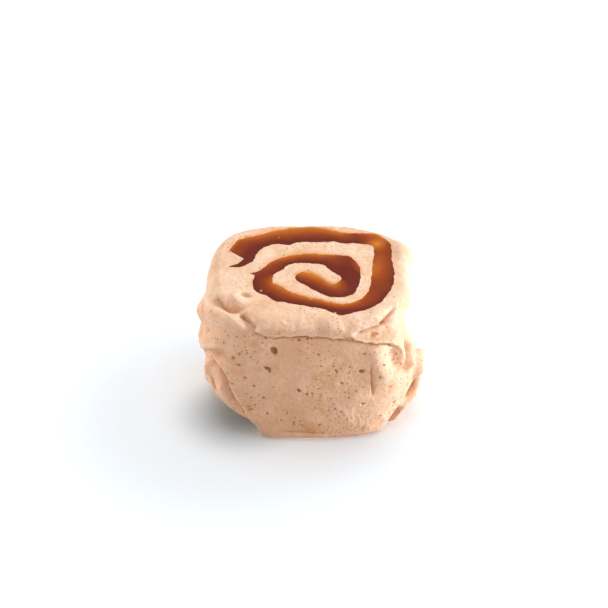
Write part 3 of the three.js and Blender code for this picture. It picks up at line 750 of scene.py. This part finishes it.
# The painted glow and shade, with streaks, picks the caramel's colour from the stops.
shade_with_streaks = start.node("Attribute", {"attribute_name": "murk"}, {}, "Fac")
shade_with_streaks = shade_with_streaks + (streak - STREAK_MIDDLE) * STREAK_DEPTH
shade = start.node("ValToRGB", {"stops": CARAMEL_STOPS}, {"Fac": GLOW_AND_SHADE_START + GLOW_AND_SHADE_SPAN * shade_with_streaks})
cells = {"Vector": place, "Scale": FLECKS}
fleck = start.node("TexVoronoi", {}, cells, "Distance")
lot = start.node("SeparateColor", {}, {"Color": start.node("TexVoronoi", {}, cells, "Color")})
fleck = FLECK_STRENGTH * (1 - fleck.ramp(*FLECK_SPAN)) * lot.ramp(*FLECK_LOT)
shade = fleck.blend(shade, CREAM_PALE)
bump = start.node("Bump", {}, {"Strength": 0.2, "Distance": RIPPLE_BUMP * MM, "Height": ripple})
gloss = start.node("BsdfPrincipled", {}, {
    "Base Color": shade,
    "Roughness": CARAMEL_GLOSS + CARAMEL_GLOSS_STREAK * streak,
    "Normal": bump,
    "IOR": 1.45,
    "Specular IOR Level": 0.35,
})
start.node("OutputMaterial", {}, {"Surface": gloss})
caramel.data.materials.append(caramel_finish)
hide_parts("caramel_swirl")
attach(caramel, "root")


# Table, light and camera
# A plain white table under a bright studio sky, with three soft boxes: on the right, overhead and behind on
# the left. The two at the sides light only the sweet. A painted shadow darkens the table's colour under the
# sweet, and the table glows, more strongly away from it, so its shade is short and soft. The camera looks
# down on the front through a long lens.
# Painted shadow on the table near the sweet, and the table's glow, which grows away from it:
TABLE_PAINTED_SHADOW = (0.48, 0.56, 0.61, 1)
TABLE_WHITE = (0.75, 0.79, 0.815, 1)
TABLE_HALF = 1500.0
TABLE_GLOW_FOOT = (0.02, 0.02, 0.02, 1)
TABLE_GLOW_NEAR = (0.28, 0.285, 0.295, 1)
TABLE_GLOW_FAR = (0.53, 0.59, 0.66, 1)
TABLE_DARKEST = (-8.0, -5.0, 0.0)
TABLE_NEAR = (1.0, 9.0)
TABLE_FAR = (12.0, 30.0)
SKY_LOW = 0.21
SKY_RIGHT = 0.3
SKY_LEFT = 0.7
SKY_BACK_DIM = 0.4
SKY_RIGHT_SPAN = (-0.1, 0.9)
SKY_LEFT_SPAN = (0.0, -0.9)
SKY_BACK_SPAN = (0.3, 0.8)
SKY_TINT = (1.0, 0.95, 0.91, 1)
LAMPS = [  # place, width, power, tint and whether it lights the table too
    ((286.0, -12.0, 102.0), 160.0, 1.5, (0.85, 1.06, 1.25), False),
    ((10.0, 40.0, 340.0), 300.0, 0.57, (0.9, 1.0, 1.07), True),
    ((-235.0, 115.0, 100.0), 140.0, 0.36, (0.9, 1.0, 1.07), False),
]
LENS = 135.0
SENSOR = 36.0
PICTURE = 608
SCALE = 8.8  # points of the picture to the millimetre
NEAREST_SEEN = 10.0
ELEVATION = math.radians(34.0)
AIM = np.array([-0.68, 0.0, 11.93])

table_grid = np.array([(-1, -1, 0), (1, -1, 0), (1, 1, 0), (-1, 1, 0)]) * TABLE_HALF * MM
table_mesh = bpy.data.meshes.new("table")
table_mesh.from_pydata(table_grid.tolist(), [], [(0, 1, 2, 3)])
table = bpy.data.objects.new("table", table_mesh)
bpy.context.scene.collection.objects.link(table)
table_finish, start = new_material("white_table")
place = start.node("TexCoord", {}, {}, "Object")
darkest = tuple(length * MM for length in TABLE_DARKEST)
# Painted shadow: the table's colour is darker and its glow weaker near the sweet's foot, and the glow grows
# stronger further out.
away = start.node("VectorMath", {"operation": "DISTANCE"}, {0: place, 1: darkest}, "Value") * (1 / MM)
clear_of_foot = away.ramp(*TABLE_NEAR)
table_glow = clear_of_foot.blend(TABLE_GLOW_FOOT, TABLE_GLOW_NEAR)
table_glow = away.ramp(*TABLE_FAR).blend(table_glow, TABLE_GLOW_FAR)
matt = start.node("BsdfPrincipled", {}, {
    "Base Color": clear_of_foot.blend(TABLE_PAINTED_SHADOW, TABLE_WHITE),
    "Roughness": 0.9,
    "Emission Color": table_glow,
    "Emission Strength": 1.0,
})
start.node("OutputMaterial", {}, {"Surface": matt})
table_mesh.materials.append(table_finish)

sky = bpy.data.worlds.new("studio_sky")
sky.use_nodes = True
sky.node_tree.nodes.clear()
start = Wire(sky.node_tree)
view = start.node("TexCoord", {}, {}, "Generated")
to_right = start.node("SeparateXYZ", {}, {"Vector": view}, "X")
to_back = start.node("SeparateXYZ", {}, {"Vector": view}, "Y")
glow = SKY_RIGHT * to_right.ramp(*SKY_RIGHT_SPAN) + SKY_LEFT * to_right.ramp(*SKY_LEFT_SPAN) + SKY_LOW
glow = glow * (1 - SKY_BACK_DIM * to_back.ramp(*SKY_BACK_SPAN))
air = start.node("Background", {}, {"Color": SKY_TINT, "Strength": glow})
start.node("OutputWorld", {}, {"Surface": air})
bpy.context.scene.world = sky

sweet_only = bpy.data.collections.new("sweet_only")
sweet_only.objects.link(cream)
sweet_only.objects.link(caramel)
for lamp_place, width, power, tint, lights_table in LAMPS:
    lamp_data = bpy.data.lights.new("soft_box", "AREA")
    lamp_data.shape = "DISK"
    lamp_data.size = width * MM
    lamp_data.energy = power
    lamp_data.color = tint
    lamp = bpy.data.objects.new("soft_box", lamp_data)
    bpy.context.scene.collection.objects.link(lamp)
    lamp.visible_glossy = False
    if not lights_table:
        lamp.light_linking.receiver_collection = sweet_only
    lamp.location = np.array(lamp_place) * MM
    lamp.rotation_euler = (-lamp.location).to_track_quat("-Z", "Y").to_euler()

distance = PICTURE * LENS / SENSOR / SCALE
camera_data = bpy.data.cameras.new("camera")
camera_data.lens = LENS
camera_data.sensor_width = SENSOR
camera_data.clip_start = NEAREST_SEEN * MM
camera = bpy.data.objects.new("camera", camera_data)
bpy.context.scene.collection.objects.link(camera)
camera.location = (AIM + distance * np.array([0, -math.cos(ELEVATION), math.sin(ELEVATION)])) * MM
camera.rotation_euler = (math.pi / 2 - ELEVATION, 0, 0)
bpy.context.scene.camera = camera
bpy.context.scene.view_settings.view_transform = "Standard"
